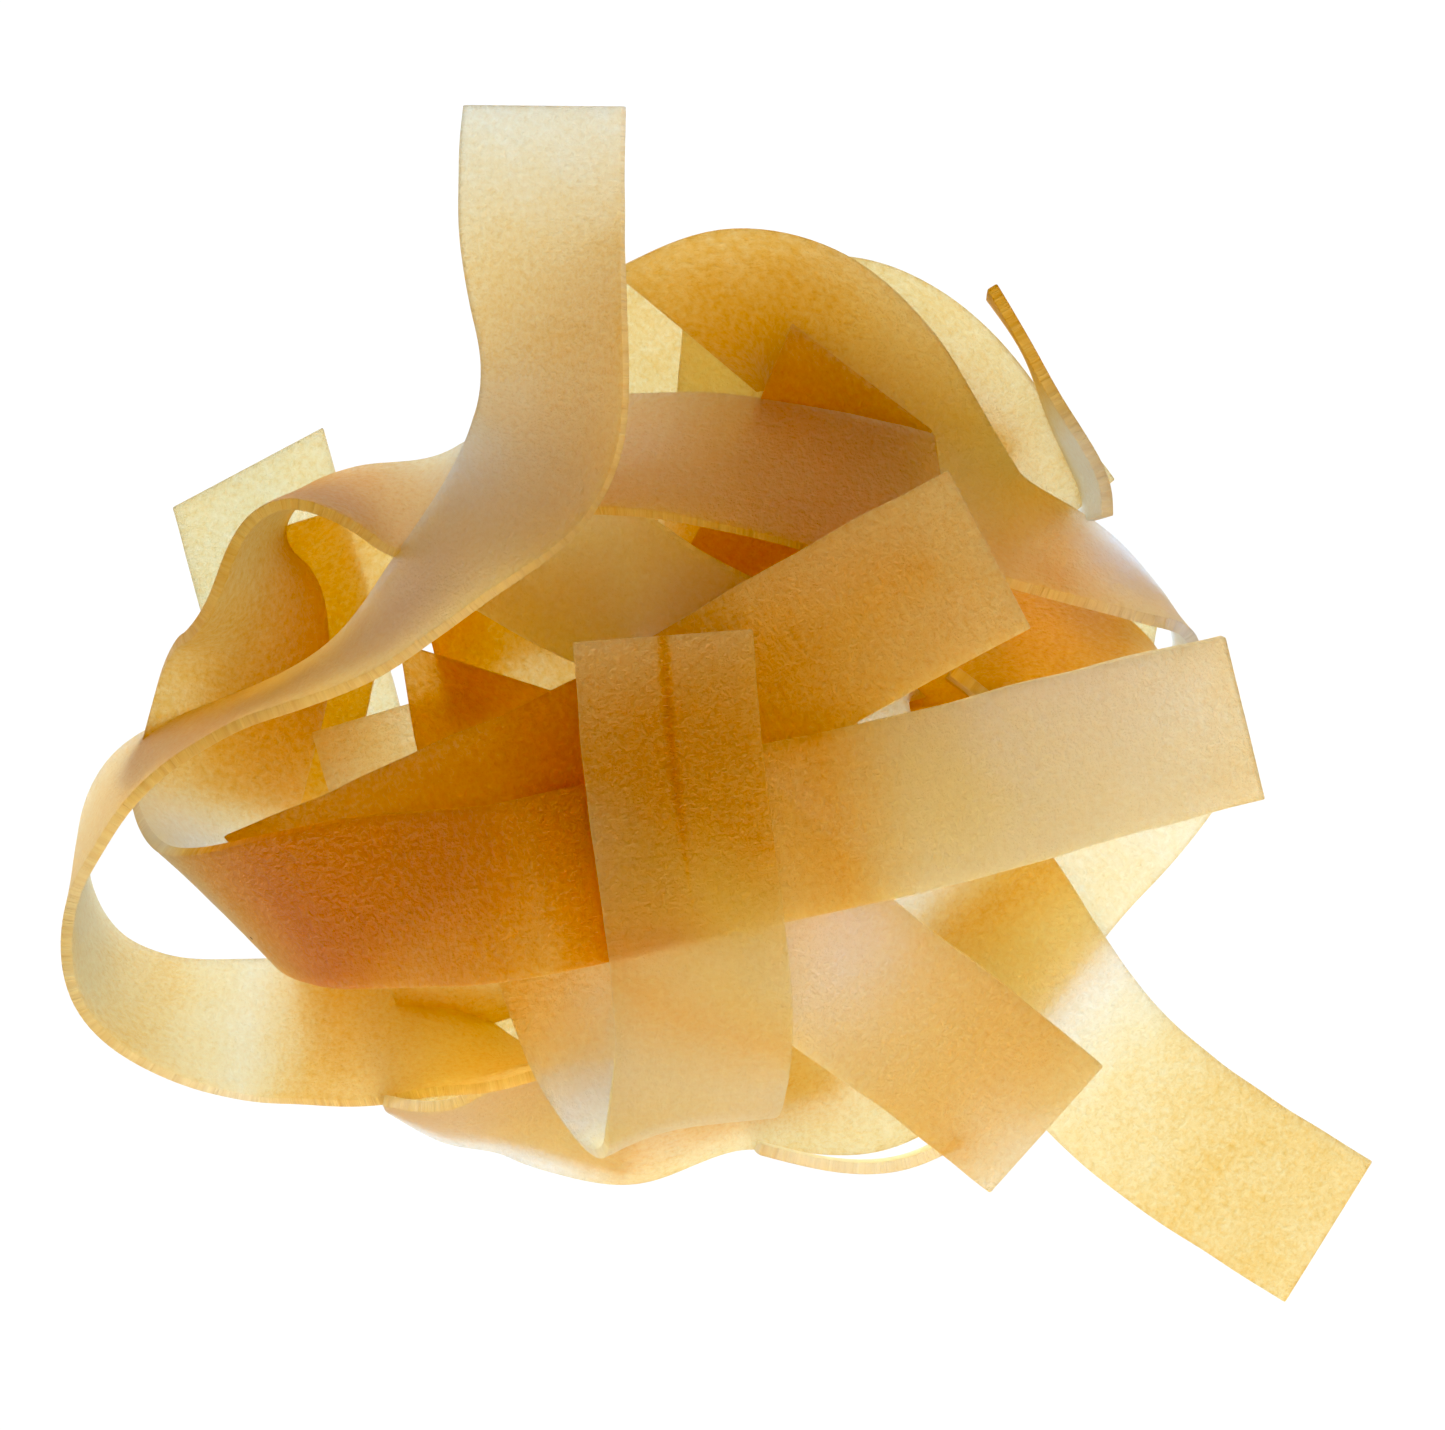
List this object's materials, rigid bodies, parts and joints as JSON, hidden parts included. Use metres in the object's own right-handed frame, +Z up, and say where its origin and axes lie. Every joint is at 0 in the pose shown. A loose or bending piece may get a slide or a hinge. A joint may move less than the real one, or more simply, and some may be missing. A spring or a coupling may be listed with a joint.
{
  "type": "pasta nest",
  "caption": "Dried nest of wide flat egg-pasta ribbons, folded and coiled into a loose round heap with free ends that stick out.",
  "frame": {"origin": "on the surface the nest rests on, under the middle of its outline", "axes": "+Z up, +X to the right and +Y away from the front, seen with the nest's highest strip towards you"},
  "size_m": [0.1014, 0.0914, 0.0322],
  "materials": {
    "pasta": "dried egg pasta, matt and slightly rough, lets light through"
  },
  "bodies": {
    "root": {"pasta_nest": "pasta"}
  },
  "joints": []
}
